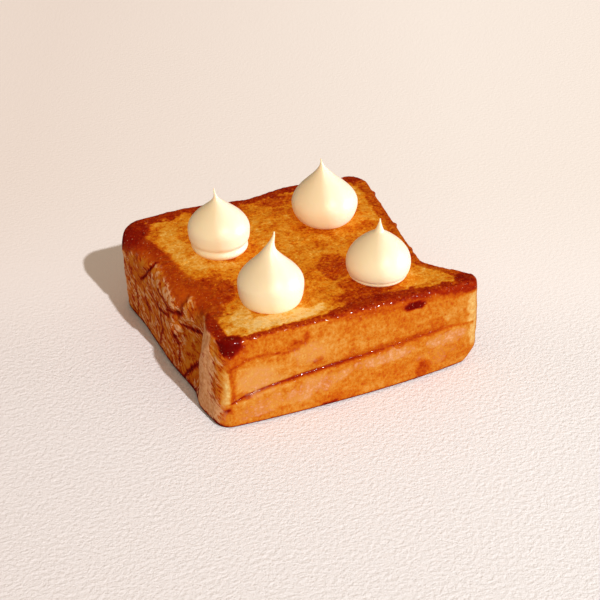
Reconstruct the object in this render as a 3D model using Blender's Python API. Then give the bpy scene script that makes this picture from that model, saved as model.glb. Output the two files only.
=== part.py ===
"""Honey toast: a thick glazed slice of a crowned tin loaf, lying on a cut face, with piped dollops of cream.

Metres, +Z up. X runs along the loaf's creased crown, which faces -Y, and the slice stands on Z = 0 about
the origin.
"""

import math

import bmesh
import bpy
import numpy as np
from mathutils import Vector, noise

MM = 0.001

# The slice starts as a rounded block, whose sides are then bent to lines of their own.
HALF_X = 60 * MM
HALF_Y = 55 * MM
THICKNESS = 38.8 * MM
# Counter-clockwise from the front left: the sign of x, the sign of y and the plan radius.
CORNERS = ((-1, -1, 6 * MM), (1, -1, 5 * MM), (1, 1, 10 * MM), (-1, 1, 12 * MM))
# The finished box's middle, measured from the block's.
BOX_MIDDLE = (-1.14 * MM, -0.58 * MM)

# Rounding where the walls meet the two cut faces; the shoulder is the softer edge along the left crust.
FOOT_RADIUS = 2 * MM
RIM_RADIUS = 2.2 * MM
SHOULDER_RADIUS = 8 * MM

# Distances of the four sides from the middle. The right and left ones lie behind the waist, the front ones
# at the foot and the rim, and the back one at the rim.
RIGHT_REACH = 58.6 * MM
LEFT_REACH = 60 * MM
FRONT_FOOT_REACH = 59.4 * MM
FRONT_RIM_REACH = 52.8 * MM
BACK_REACH = 58 * MM

# The waist: a valley on each side, where the crown swelled out over the tin. The reaches go forwards and
# back from it, and the right one goes back nearly to the far corner.
VALLEY_Y = -27 * MM
VALLEY_SOFTNESS = 0.12
RIGHT_VALLEY_DEPTH = 12.4 * MM
RIGHT_VALLEY_REACH = (19 * MM, 76 * MM)
LEFT_VALLEY_DEPTH = 9 * MM
LEFT_VALLEY_REACH = (9 * MM, 21 * MM)
# How much further forwards the left one reaches at the rim than it does lower down, and how much shallower
# it is in its upper part.
LEFT_VALLEY_OPENS = 9 * MM
LEFT_VALLEY_CLOSES = 4.5 * MM

# How far each side leaves its straight line.
RIGHT_BARREL = 1.2 * MM
RIGHT_CORNER = 1.6 * MM
RIGHT_FOOT_CUT = 4 * MM
LEFT_FOOT_SPREAD = 1.5 * MM
LEFT_TUCK = 2.2 * MM
LEFT_SET_BACK = 2 * MM
LEFT_LOBE = 1.8 * MM
LEFT_OVERHANG = 1.5 * MM
LEFT_FLARE = 2.6 * MM
FRONT_BOW = 2.7 * MM
BACK_DIP = 3.2 * MM
BACK_SLOPE = 2 * MM
BACK_LEAN = 1 * MM

# The long fold in the front crust, which climbs from left to right.
CREASE_HEIGHT = 18 * MM
CREASE_SLOPE = 0.05
CREASE_DROP = 4.2 * MM
CREASE_DROP_REACH = 14 * MM
CREASE_ENDS = (-54 * MM, 48 * MM)
CREASE_GROOVE = 0.85 * MM
CREASE_HALF_WIDTH = 0.9 * MM
LIP_PROUD = 0.6 * MM
LIP_STEP = 0.9 * MM

# Folds in the left crust: start and end, as (y, height), then depth and half width.
LEFT_FOLDS = (
    ((29 * MM, 25.5 * MM), (18 * MM, 37.5 * MM), 1.0 * MM, 1.4 * MM),
    ((-7.5 * MM, 26.5 * MM), (-10.5 * MM, 37 * MM), 1.2 * MM, 1.5 * MM),
    ((1.5 * MM, 23.5 * MM), (-7.5 * MM, 27 * MM), 0.8 * MM, 1.3 * MM),
    ((-10.5 * MM, 22 * MM), (-22 * MM, 26.5 * MM), 0.8 * MM, 1.4 * MM),
)

# Unevenness: height, and the distance across one lump.
CRUST_LUMPS = (0.3 * MM, 7 * MM)
CRUMB_LUMPS = ((0.35 * MM, 9 * MM), (0.2 * MM, 4.5 * MM))
WAIST_SAG = 0.7 * MM
LEFT_SAG = 0.5 * MM
FRONT_RIM_PROUD = 0.5 * MM

# Flat seats in the crumb under the dollops.
SEAT_RADIUS = 11 * MM
SEAT_BLEND = 5 * MM
SEAT_GAP = 0.3 * MM

# Mesh: steps along the front and back, along the left and right, and up the wall; round and up a dollop.
STEPS_X = 44
STEPS_Y = 40
ROWS_FOOT = 2
ROWS_LOWER = 3
ROWS_UPPER = 4
ROWS_RIM = 3
DOLLOP_STEPS = 30
DOLLOP_ROWS = 17

DOLLOP_ROUNDNESS = 1.8
DOLLOP_UNEVENNESS = 0.02
# Radius of a dollop's blunt tip.
NIB = 0.3 * MM
# Share of a dollop's height above which its tip hooks over.
HOOK_FROM = 0.72

# Each dollop of cream: its place and full height, the radii of its foot and belly, and the belly's height.
# Above the belly, a dome that closes at a share of the way up is joined with a hollow-sided peak, by its
# share of the radius. Then how far along X it leans and its tip hooks, and the skirt left by a second squeeze
# of the bag: its height, how deep the groove over it is, and which way it faces.
DOLLOPS = {
    "cream_front_left": {
        "place": (-25.6 * MM, -30.3 * MM), "height": 31.4 * MM,
        "foot": 11.6 * MM, "belly": 13.65 * MM, "belly_height": 8.4 * MM,
        "dome_closes": 1.0, "dome_power": 1.14, "peak_share": 0.8, "peak_power": 1.6,
        "lean": -0.9 * MM, "hook": 2.5 * MM, "skirt": None,
    },
    "cream_front_right": {
        "place": (23.4 * MM, -30.4 * MM), "height": 26.5 * MM,
        "foot": 10.4 * MM, "belly": 13.8 * MM, "belly_height": 6.4 * MM,
        "dome_closes": 0.71, "dome_power": 0.96, "peak_share": 0.46, "peak_power": 0.7,
        "lean": 0.1 * MM, "hook": 0.2 * MM, "skirt": (2.2 * MM, 0.4 * MM, math.radians(215)),
    },
    "cream_back_left": {
        "place": (-29.4 * MM, 16.6 * MM), "height": 29.9 * MM,
        "foot": 9.8 * MM, "belly": 13.3 * MM, "belly_height": 10.6 * MM,
        "dome_closes": 0.79, "dome_power": 1.62, "peak_share": 0.415, "peak_power": 0.87,
        "lean": -1.0 * MM, "hook": -0.9 * MM, "skirt": (4.4 * MM, 1.0 * MM, math.radians(-55)),
    },
    "cream_back_right": {
        "place": (23.2 * MM, 21.9 * MM), "height": 30.4 * MM,
        "foot": 9.0 * MM, "belly": 14.6 * MM, "belly_height": 8.8 * MM,
        "dome_closes": 0.99, "dome_power": 1.87, "peak_share": 0.2, "peak_power": 1.85,
        "lean": -1.9 * MM, "hook": -0.2 * MM, "skirt": None,
    },
}

CRUST_COLOUR = (0.52, 0.17, 0.03)
CREAM_COLOUR = (0.93, 0.84, 0.62)


def smooth(low, high, value):
    """0 at low, 1 at high, an S between them and level beyond; low may be the larger."""
    share = np.clip((value - low) / (high - low), 0, 1)
    return share * share * (3 - 2 * share)


def bell(value, centre, width):
    return np.exp(-(((value - centre) / width) ** 2))


def valley(y, reach):
    """1 at the waist, down straight flanks to 0 at each end of its reach, with a soft bottom."""
    flank = np.where(y < VALLEY_Y, *reach)
    away = np.hypot((y - VALLEY_Y) / flank, VALLEY_SOFTNESS) - VALLEY_SOFTNESS
    return np.clip(1 - away, 0, 1)


def lumps(points, height, size, seed):
    """Smooth noise of a height at each point, with lumps about size across."""
    shift = Vector((7.3, 3.1, 5.7)) * seed
    return height * np.array([noise.noise(Vector(point) / size + shift) for point in points])


# The four sides' lines in plan, as distances from the middle; up is the share of the slice's thickness.
def right_line(y, up):
    waist = RIGHT_VALLEY_DEPTH * valley(y, RIGHT_VALLEY_REACH)
    barrel = RIGHT_BARREL * np.sin(math.pi * up)
    corner = RIGHT_CORNER * smooth(-39 * MM, -50 * MM, y)
    cut = RIGHT_FOOT_CUT * smooth(-44 * MM, -54 * MM, y) * smooth(0.2, 0, up)
    return RIGHT_REACH - waist + barrel + corner - cut


def left_line(y, up):
    forwards = LEFT_VALLEY_REACH[0] + LEFT_VALLEY_OPENS * smooth(0.55, 1, up)
    depth = LEFT_VALLEY_DEPTH * smooth(-0.1, 0.7, up) - LEFT_VALLEY_CLOSES * smooth(0.5, 0.75, up)
    waist = depth * valley(y, (forwards, LEFT_VALLEY_REACH[1]))
    flare = LEFT_FLARE * smooth(12 * MM, 48 * MM, y)
    overhang = LEFT_OVERHANG * smooth(-25 * MM, 10 * MM, y)
    tuck = LEFT_TUCK * smooth(8 * MM, -24 * MM, y) + LEFT_SET_BACK * smooth(-40 * MM, -53 * MM, y)
    lobe = LEFT_LOBE * bell(y, -38 * MM, 9 * MM)
    middle = smooth(-32 * MM, -5 * MM, y) * smooth(34 * MM, 12 * MM, y)
    spread = LEFT_FOOT_SPREAD * smooth(0.6, 0, up) * middle
    return LEFT_REACH + flare + lobe + spread + up * (overhang - tuck) - waist


def front_line(x, up):
    foot = FRONT_FOOT_REACH - FRONT_BOW * np.abs((x + 12 * MM) / (55 * MM)) ** 2.4
    return foot + (FRONT_RIM_REACH - foot) * up


def back_line(x, up):
    dip = BACK_DIP * bell(x, -2 * MM, 13 * MM)
    slope = BACK_SLOPE * smooth(24 * MM, 52 * MM, x)
    return BACK_REACH - dip - slope - BACK_LEAN * (1 - up)


def plan(x, y, up):
    """A point of the plain block, moved to where the slice's sides put it at that height."""
    side_x = np.where(x > 0, right_line(y, up), left_line(y, up))
    side_y = np.where(y > 0, back_line(x, up), front_line(x, up))
    return x * side_x / HALF_X, y * side_y / HALF_Y


def crease_height(x):
    drop = CREASE_DROP * np.exp(-(x - CREASE_ENDS[0]) / CREASE_DROP_REACH)
    return CREASE_HEIGHT + CREASE_SLOPE * x - drop


def crease_relief(x, z):
    """How far the front crust stands out round its fold: a lip below, a groove, and a step back above."""
    above = z - crease_height(x)
    fade = smooth(CREASE_ENDS[0] - 4 * MM, CREASE_ENDS[0] + 4 * MM, x)
    fade = fade * smooth(CREASE_ENDS[1] + 8 * MM, CREASE_ENDS[1] - 14 * MM, x)
    groove = -CREASE_GROOVE * bell(above, 0, 0.7 * CREASE_HALF_WIDTH)
    lip = LIP_PROUD * np.exp(np.minimum(above, 0) / (5 * MM))
    step = -LIP_STEP * np.exp(-np.maximum(above, 0) / (8 * MM))
    across = smooth(-CREASE_HALF_WIDTH, CREASE_HALF_WIDTH, above)
    return fade * (groove + lip + (step - lip) * across)


def left_relief(y, z):
    """How far the left crust stands out: its folds are pressed in along straight lines."""
    relief = np.zeros_like(y)
    for start, end, depth, width in LEFT_FOLDS:
        run_y, run_z = end[0] - start[0], end[1] - start[1]
        length = math.hypot(run_y, run_z)
        share = ((y - start[0]) * run_y + (z - start[1]) * run_z) / length**2
        off = ((z - start[1]) * run_y - (y - start[0]) * run_z) / length
        ends = smooth(-0.1, 0.1, share) * smooth(1.1, 0.9, share)
        relief -= depth * ends * bell(off, 0, width)
    return relief


def crumb_relief(x, y):
    """Height of the toasted crumb over the cut plane: it sags across the waist, with level seats."""
    line = VALLEY_Y + 3 * MM * np.sin(x / (14 * MM))
    height = -WAIST_SAG * bell(y, line, 7 * MM) - LEFT_SAG * smooth(-35 * MM, -52 * MM, x)
    height += FRONT_RIM_PROUD * smooth(-44 * MM, -49 * MM, y) * smooth(-10 * MM, 20 * MM, x)
    flat = np.stack([x, y, np.zeros_like(x)], -1)
    for seed, (lump_height, lump_size) in enumerate(CRUMB_LUMPS, start=1):
        height += lumps(flat, lump_height, lump_size, seed)
    for dollop in DOLLOPS.values():
        away = np.hypot(x - dollop["place"][0], y - dollop["place"][1])
        height *= smooth(SEAT_RADIUS, SEAT_RADIUS + SEAT_BLEND, away)
    return height


def perimeter():
    """The plain block's outline: its points, their outward normals and the index at which each side starts.

    Each side runs from the middle of one rounded corner to the middle of the next.
    """
    points, normals, starts = [], [], []
    for side, (sign_x, sign_y, radius) in enumerate(CORNERS):
        next_x, next_y, next_radius = CORNERS[(side + 1) % 4]
        pivot = np.array((sign_x * (HALF_X - radius), sign_y * (HALF_Y - radius)))
        next_pivot = np.array((next_x * (HALF_X - next_radius), next_y * (HALF_Y - next_radius)))
        facing = (side - 1) * math.pi / 2
        outward = np.array((math.cos(facing), math.sin(facing)))
        begin = pivot + outward * radius
        finish = next_pivot + outward * next_radius
        straight = np.hypot(*(finish - begin))
        first_arc, last_arc = radius * math.pi / 4, next_radius * math.pi / 4
        count = STEPS_X if side % 2 == 0 else STEPS_Y
        starts.append(len(points))
        for step in range(count):
            travelled = (first_arc + straight + last_arc) * step / count
            if travelled < first_arc:
                angle = facing - math.pi / 4 + travelled / radius
                centre, reach = pivot, radius
            elif travelled < first_arc + straight:
                angle = facing
                centre, reach = begin + (finish - begin) * (travelled - first_arc) / straight, 0
            else:
                angle = facing + (travelled - first_arc - straight) / next_radius
                centre, reach = next_pivot, next_radius
            normal = np.array((math.cos(angle), math.sin(angle)))
            points.append(centre + normal * reach)
            normals.append(normal)
    return np.array(points), np.array(normals), starts


def rim_radius(points, normals):
    """Rounding at the top of the wall: soft along the left crust, except on the crisp crown."""
    leftness = np.clip(-normals[:, 0], 0, 1) ** 2
    shoulder = SHOULDER_RADIUS * smooth(-36 * MM, -18 * MM, points[:, 1])
    return RIM_RADIUS + leftness * np.clip(shoulder - RIM_RADIUS, 0, None)


def wall_rows(points, normals):
    """Inset and height of each row of the wall, from the foot to the rim, at each point of the outline."""
    rim = rim_radius(points, normals)
    none = np.zeros_like(rim)
    frontness = np.clip(-normals[:, 1], 0, 1) ** 2
    middle = CREASE_HEIGHT + frontness * (crease_height(points[:, 0]) - CREASE_HEIGHT)
    below = middle - CREASE_HALF_WIDTH
    above = middle + CREASE_HALF_WIDTH
    rows = []
    for step in range(ROWS_FOOT):
        angle = math.pi / 2 * step / ROWS_FOOT
        inset = FOOT_RADIUS * (1 - math.sin(angle))
        height = FOOT_RADIUS * (1 - math.cos(angle))
        rows.append((none + inset, none + height))
    for step in range(ROWS_LOWER + 1):
        rows.append((none, FOOT_RADIUS + (below - FOOT_RADIUS) * step / ROWS_LOWER))
    rows.append((none, middle))
    for step in range(ROWS_UPPER):
        rows.append((none, above + (THICKNESS - rim - above) * step / ROWS_UPPER))
    for step in range(ROWS_RIM + 1):
        angle = math.pi / 2 * step / ROWS_RIM
        rows.append((rim * (1 - math.cos(angle)), THICKNESS - rim + rim * math.sin(angle)))
    return rows


def bent(block, normals, heights):
    """Where the plain block's points, with their outward normals, lie on the finished slice."""
    x, y = plan(block[:, 0], block[:, 1], heights / THICKNESS)
    # Towards the top face the relief turns from the wall's to the crumb's, and the foot stays level.
    topness = smooth(THICKNESS - 3 * MM, THICKNESS, heights)
    footing = smooth(0, 4 * MM, heights)
    frontness = smooth(0.6, 0.95, -normals[:, 1])
    leftness = smooth(0.6, 0.95, -normals[:, 0])
    out = frontness * crease_relief(block[:, 0], heights) + leftness * left_relief(y, heights)
    out += lumps(np.stack([x, y, heights], -1), *CRUST_LUMPS, seed=3)
    out *= (1 - topness) * footing
    z = heights + topness * crumb_relief(x, y)
    x += normals[:, 0] * out - BOX_MIDDLE[0]
    y += normals[:, 1] * out - BOX_MIDDLE[1]
    return np.stack([x, y, z], -1)


def inner_grid(ring, starts):
    """Points that fill the ring evenly, as a Coons patch between its four sides: rows from the front."""
    closed = np.concatenate([ring, ring[:1]])
    front = closed[starts[0]:starts[1] + 1]
    right = closed[starts[1]:starts[2] + 1]
    back = closed[starts[2]:starts[3] + 1][::-1]
    left = closed[starts[3]:][::-1]
    u = np.linspace(0, 1, STEPS_X + 1)[None, :, None]
    v = np.linspace(0, 1, STEPS_Y + 1)[:, None, None]
    between_front_and_back = (1 - v) * front[None] + v * back[None]
    between_left_and_right = (1 - u) * left[:, None] + u * right[:, None]
    corners = (1 - v) * ((1 - u) * front[0] + u * front[-1]) + v * ((1 - u) * back[0] + u * back[-1])
    return between_front_and_back + between_left_and_right - corners


def make_toast():
    mesh = bmesh.new()
    points, normals, starts = perimeter()
    count = len(points)
    rings = []
    for inset, height in wall_rows(points, normals):
        placed = bent(points - normals * inset[:, None], normals, height)
        rings.append([mesh.verts.new(point) for point in placed])
    for lower, upper in zip(rings, rings[1:]):
        for i in range(count):
            j = (i + 1) % count
            mesh.faces.new((lower[i], lower[j], upper[j], upper[i]))

    # The top face's grid has the wall's last ring as its border.
    block = inner_grid(points - normals * rim_radius(points, normals)[:, None], starts)
    flat = block[1:-1, 1:-1].reshape(-1, 2)
    placed = bent(flat, np.zeros_like(flat), np.full(len(flat), THICKNESS))
    inner = [mesh.verts.new(point) for point in placed]

    def grid_vertex(row, column):
        if row == 0:
            return rings[-1][starts[0] + column]
        if column == STEPS_X:
            return rings[-1][starts[1] + row]
        if row == STEPS_Y:
            return rings[-1][starts[2] + STEPS_X - column]
        if column == 0:
            return rings[-1][starts[3] + STEPS_Y - row]
        return inner[(row - 1) * (STEPS_X - 1) + column - 1]

    for row in range(STEPS_Y):
        for column in range(STEPS_X):
            square = ((row, column), (row, column + 1), (row + 1, column + 1), (row + 1, column))
            mesh.faces.new([grid_vertex(*corner) for corner in square])
    mesh.faces.new(rings[0][::-1])
    return as_object(mesh, "toast", material("glazed_crust", CRUST_COLOUR, 0.35))


def dollop_radius(dollop, height):
    """Radius of a piped dollop at a height: a round belly that runs up into a thin, hollow-sided peak."""
    if height < dollop["belly_height"]:
        short = 1 - height / dollop["belly_height"]
        roundness = (1 - short**DOLLOP_ROUNDNESS) ** (1 / DOLLOP_ROUNDNESS)
        return dollop["foot"] + (dollop["belly"] - dollop["foot"]) * roundness
    climb = (height - dollop["belly_height"]) / (dollop["height"] - dollop["belly_height"])
    dome = max(1 - (climb / dollop["dome_closes"]) ** 2, 0) ** dollop["dome_power"]
    peak = max(math.cos(math.pi / 2 * climb), 0) ** (2 * dollop["peak_power"])
    radius = dollop["belly"] * ((1 - dollop["peak_share"]) * dome + dollop["peak_share"] * peak)
    nib = NIB * math.sqrt(max(1 - max(1 - (dollop["height"] - height) / NIB, 0) ** 2, 0))
    return math.hypot(radius, nib)


def dollop_heights(dollop):
    """Heights of the profile's points, closer together near the foot, a skirt's groove and the blunt tip."""
    heights = [dollop["height"] * (i / DOLLOP_ROWS) ** 1.1 for i in range(DOLLOP_ROWS + 1)]
    if dollop["skirt"]:
        groove_height = dollop["skirt"][0]
        upper = [height for height in heights if height > 1.6 * groove_height]
        heights = [groove_height * share for share in (0, 0.25, 0.5, 0.75, 1, 1.3)] + upper
    return heights[:-1] + [dollop["height"] - NIB / 2, dollop["height"]]


def skirt_relief(skirt, angle, height):
    """How far a dollop stands out round its skirt: a ring about its foot, and the groove over that."""
    groove_height, depth, side = skirt
    facing = (0.5 + 0.5 * math.cos(angle - side)) ** 0.7
    groove = bell(height, groove_height, 0.28 * groove_height)
    ring = bell(height, 0.5 * groove_height, 0.4 * groove_height)
    return depth * facing * (0.6 * ring - groove)


def make_dollop(name, dollop, cream):
    """One dollop, spun round its axis from its profile, then made a little uneven and leant."""
    mesh = bmesh.new()
    heights = dollop_heights(dollop)
    outline = [(dollop_radius(dollop, height), height) for height in heights[:-1]]
    profile = [(0, 0)] + outline + [(0, heights[-1])]
    vertices = [mesh.verts.new((radius, 0, height)) for radius, height in profile]
    edges = [mesh.edges.new(pair) for pair in zip(vertices, vertices[1:])]
    whole_turn = 2 * math.pi
    bmesh.ops.spin(
        mesh, geom=vertices + edges, cent=(0, 0, 0), axis=(0, 0, 1), angle=whole_turn, steps=DOLLOP_STEPS
    )
    bmesh.ops.remove_doubles(mesh, verts=mesh.verts, dist=0.01 * MM)
    shift = Vector((*dollop["place"], 0)) / MM
    for vertex in mesh.verts:
        radius = vertex.co.xy.length
        height = vertex.co.z
        if radius > 0:
            swell = radius * DOLLOP_UNEVENNESS * noise.noise(vertex.co / (14 * MM) + shift)
            if dollop["skirt"]:
                swell += skirt_relief(dollop["skirt"], math.atan2(vertex.co.y, vertex.co.x), height)
            vertex.co.xy *= 1 + swell / radius
        up = height / dollop["height"]
        vertex.co.x += dollop["lean"] * up**2 + dollop["hook"] * smooth(HOOK_FROM, 1, up)
    bmesh.ops.recalc_face_normals(mesh, faces=mesh.faces)
    made = as_object(mesh, name, cream)
    x, y = dollop["place"]
    made.location = (x - BOX_MIDDLE[0], y - BOX_MIDDLE[1], THICKNESS + SEAT_GAP)
    return made


def material(name, colour, roughness):
    made = bpy.data.materials.new(name)
    made.use_nodes = True
    shader = made.node_tree.nodes["Principled BSDF"]
    shader.inputs["Base Color"].default_value = (*colour, 1)
    shader.inputs["Roughness"].default_value = roughness
    shader.inputs["Metallic"].default_value = 0
    return made


def as_object(mesh, name, finish):
    data = bpy.data.meshes.new(name)
    mesh.to_mesh(data)
    mesh.free()
    data.materials.append(finish)
    data.shade_smooth()
    data.set_sharp_from_angle(angle=math.radians(60))
    made = bpy.data.objects.new(name, data)
    bpy.context.scene.collection.objects.link(made)
    return made


def main():
    for old in list(bpy.data.objects):
        bpy.data.objects.remove(old)
    make_toast()
    cream = material("cream", CREAM_COLOUR, 0.4)
    for name, dollop in DOLLOPS.items():
        make_dollop(name, dollop, cream)


main()
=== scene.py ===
"""Honey toast, as it looks: a thick glazed slice of a crowned tin loaf with piped dollops of cream.

+Z is up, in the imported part's frame. The slice and the dollops repeat the solids' shapes with a fine mesh,
and add the crackled crust, the grainy crumb, the caramel rim and the browning. Shapes and patterns are worked
out in millimetres, and become metres when they go into a mesh or a node.
"""

import math
from collections import namedtuple

import bpy
import numpy as np
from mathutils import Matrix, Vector, noise


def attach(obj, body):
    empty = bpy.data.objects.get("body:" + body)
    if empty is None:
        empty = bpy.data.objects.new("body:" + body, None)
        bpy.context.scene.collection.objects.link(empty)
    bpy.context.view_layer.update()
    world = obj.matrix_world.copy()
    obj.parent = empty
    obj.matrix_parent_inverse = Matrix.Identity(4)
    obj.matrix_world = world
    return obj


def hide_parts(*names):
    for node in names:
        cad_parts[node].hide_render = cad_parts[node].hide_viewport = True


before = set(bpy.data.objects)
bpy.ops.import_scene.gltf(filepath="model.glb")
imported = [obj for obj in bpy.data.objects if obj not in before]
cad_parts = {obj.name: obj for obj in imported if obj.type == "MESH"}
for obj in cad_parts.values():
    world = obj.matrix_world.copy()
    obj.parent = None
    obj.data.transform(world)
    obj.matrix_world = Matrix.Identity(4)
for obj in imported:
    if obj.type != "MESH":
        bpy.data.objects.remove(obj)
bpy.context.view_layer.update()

MM = 0.001

# --- The slice's plain form, as in the solid ---
HALF_X = 60
HALF_Y = 55
THICKNESS = 38.8
# Counter-clockwise from the front left: the sign of x, the sign of y and the plan radius.
CORNERS = ((-1, -1, 6), (1, -1, 5), (1, 1, 10), (-1, 1, 12))
# The finished box's middle, measured from the block's.
BOX_MIDDLE = np.array((-1.14, -0.58))

FOOT_RADIUS = 2
RIM_RADIUS = 2.2
SHOULDER_RADIUS = (8, -36, -18)

RIGHT_REACH = 58.6
LEFT_REACH = 60
FRONT_FOOT_REACH = 59.4
FRONT_RIM_REACH = 52.8
BACK_REACH = 58

VALLEY_Y = -27
VALLEY_SOFTNESS = 0.12
RIGHT_VALLEY_DEPTH = 12.4
RIGHT_VALLEY_REACH = (19, 76)
# Three numbers are an amount and the stretch over which it comes in, along the side or as a share of the
# thickness. For a lobe or a dip they are its amount, its middle and its width.
LEFT_VALLEY_DEPTH = (9, -0.1, 0.7)
LEFT_VALLEY_REACH = (9, 21)
# How much further forwards the left one reaches at the rim than it does lower down, and how much shallower
# it is in its upper part.
LEFT_VALLEY_OPENS = (9, 0.55, 1)
LEFT_VALLEY_CLOSES = (4.5, 0.5, 0.75)

RIGHT_BARREL = 1.2
RIGHT_CORNER = (1.6, -39, -50)
RIGHT_FOOT_CUT = (4, -44, -54)
RIGHT_FOOT_CUT_TOP = 0.2
LEFT_FOOT_SPREAD = (1.5, 0.6, 0)
LEFT_TUCK = (2.2, 8, -24)
LEFT_SET_BACK = (2, -40, -53)
LEFT_LOBE = (1.8, -38, 9)
LEFT_OVERHANG = (1.5, -25, 10)
LEFT_FLARE = (2.6, 12, 48)
FRONT_BOW = 2.7
FRONT_BOW_MIDDLE = -12
FRONT_BOW_REACH = 55
FRONT_BOW_POWER = 2.4
BACK_DIP = (3.2, -2, 13)
BACK_SLOPE = (2, 24, 52)
BACK_LEAN = 1

# The fold along the front: a groove, with a proud lip under it and a step back over it.
CREASE_HEIGHT = 18
CREASE_SLOPE = 0.05
CREASE_DROP = 4.2
CREASE_DROP_REACH = 14
CREASE_ENDS = (-54, 48)
CREASE_GROOVE = 0.85
CREASE_HALF_WIDTH = 0.9
LIP_PROUD = 0.6
LIP_STEP = 0.9

# The left crust's pressed-in folds: their two ends as (y, height), their depth and their half width.
LEFT_FOLDS = (
    ((29, 25.5), (18, 37.5), 1.0, 1.4),
    ((-7.5, 26.5), (-10.5, 37), 1.2, 1.5),
    ((1.5, 23.5), (-7.5, 27), 0.8, 1.3),
    ((-10.5, 22), (-22, 26.5), 0.8, 1.4),
)

# Low lumps: their height and size.
CRUST_LUMPS = (0.3, 7)
CRUMB_LUMPS = ((0.35, 9), (0.2, 4.5))
WAIST_SAG = 0.7
WAIST_SAG_WIDTH = 7
LEFT_SAG = (0.5, -35, -52)
FRONT_RIM_PROUD = (0.5, -44, -49)

# The level seats under the dollops.
SEAT_RADIUS = 11
SEAT_BLEND = 5

# The fine mesh: steps along the front and back, along the left and right, and up the wall.
STEPS_X = 216
STEPS_Y = 196
ROWS_FOOT = 5
ROWS_LOWER = 17
ROWS_CREASE = 8
ROWS_UPPER = 18
ROWS_RIM = 9
# Shares of the way from the foot's edge to the middle of the underside at which it has a ring of points.
UNDERSIDE_RINGS = (0.02, 0.06, 0.14, 0.26, 0.4, 0.56, 0.74, 0.9)

# Dollops, as in the solids: dollop_radius and skirt_relief show what each value does.
DOLLOP_STEPS = 112
DOLLOP_ROWS = 84
DOLLOP_ROUNDNESS = 1.8
DOLLOP_UNEVENNESS = 0.02
NIB = 0.3
HOOK_FROM = 0.72
# How far the cream's foot sinks between the crumbs.
CREAM_SINKS = 0.5
Dollop = namedtuple("Dollop", (
    "place height foot belly belly_height dome_closes dome_power peak_share peak_power lean hook skirt"
))
DOLLOPS = {
    "cream_front_left": Dollop((-25.6, -30.3), 31.4, 11.6, 13.65, 8.4, 1, 1.14, 0.8, 1.6, -0.9, 2.5, None),
    "cream_front_right": Dollop(
        (23.4, -30.4), 26.5, 10.4, 13.8, 6.4, 0.71, 0.96, 0.46, 0.7, 0.1, 0.2, (2.2, 0.4, 215)
    ),
    "cream_back_left": Dollop(
        (-29.4, 16.6), 29.9, 9.8, 13.3, 10.6, 0.79, 1.62, 0.415, 0.87, -1, -0.9, (4.4, 1, -55)
    ),
    "cream_back_right": Dollop((23.2, 21.9), 30.4, 9, 14.6, 8.8, 0.99, 1.87, 0.2, 1.85, -1.9, -0.2, None),
}

# --- Fine relief and browning ---
# Places are in the block's own frame. A patch has its middle, its half sizes, the tone it pulls to
# (0 pale, 0.5 amber, 1 burnt), how strongly, and for some its turn in degrees. A side's own tone comes with
# how much of the middling noise and of the slow noise is in it.
CRUMB_TONE = (0.46, 0.1, 0.06)
CRUMB_PATCHES = (
    # Pale stretches of crumb that the pan hardly touched.
    (-45.5, 24, 5.5, 21, 0.28, 0.95),
    (-42, 45, 5, 5, 0.4, 0.8),
    (-43, 12, 6, 7, 0.28, 0.8, -10),
    (-34, 3, 8, 4, 0.3, 0.8, -10),
    (-45, -40, 9.5, 11.5, 0.15, 0.95),
    (-26, -45, 18, 4.5, 0.03, 0.95, 3),
    (42, -38, 11, 7, 0.34, 0.9, -12),
    (45, 22, 4.5, 20, 0.36, 0.8, -4),
    (8, -3, 11, 3.5, 0.42, 0.7),
    (5, 31, 5, 5, 0.38, 0.6),
    (-5, 13, 8, 10, 0.34, 0.7, 10),
    # Painted shade: darker crumb beside the back left dollop's left side, where the cream shades it.
    (-39.5, 32, 3, 6, 0.58, 0.8),
    (-42, 19, 2.5, 3.5, 0.5, 0.7),
    # Well browned stretches.
    (-44, -13, 8, 12, 0.73, 0.95),
    (10, -18, 9.5, 8.5, 0.7, 0.95),
    (12, -43, 14, 6.5, 0.76, 0.95),
    (9, -33, 5, 5, 0.7, 0.9),
    (-12, 50, 10, 5, 0.7, 0.8),
    (11, 46, 9, 5, 0.74, 0.9),
    (7, 36, 5, 4, 0.6, 0.7),
    (15, 14, 8, 4, 0.6, 0.7, -35),
    # Painted shade: darker crumb along the back right dollop's left side, where the cream shades it.
    (14, 32, 3.5, 12, 0.6, 0.7, -15),
    # More well browned stretches.
    (38, 8, 6, 4, 0.64, 0.7, 10),
    (-3, -26, 5, 14, 0.5, 0.8),
    (-17, 10, 4, 3, 0.54, 0.6, 30),
    (-47, -29.5, 7, 4.5, 0.52, 0.85),
    (-49.5, -37, 3, 9, 0.48, 0.8, 12),
    (-47, -47, 4, 2, 0.42, 0.8),
)
# How far the burnt band reaches in from the front edge, as (x, reach).
FRONT_BAND = (
    (-50, 1.8), (-30, 2.4), (-12, 2.4), (-6, 4.5), (2, 6.5), (12, 7.4), (30, 6.0), (38, 4), (46, 4), (56, 6),
)
# And the glazed band from the left edge, as (y, reach).
LEFT_BAND = (
    (-60, 4), (-45, 4), (-40, 5), (-36, 7), (-31, 9), (-25, 10.5), (-22, 12), (-6, 13.5), (0, 11.5),
    (5, 10.6), (18, 10.6), (32, 9.2), (42, 7.4), (60, 6.8),
)
# The back's and the right's borders of browned crumb: how far they reach in, their tone and how frayed.
BACK_BORDER = (6.6, 0.82, 0.45)
RIGHT_BORDER = (7, 0.66, 0.35)
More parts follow.
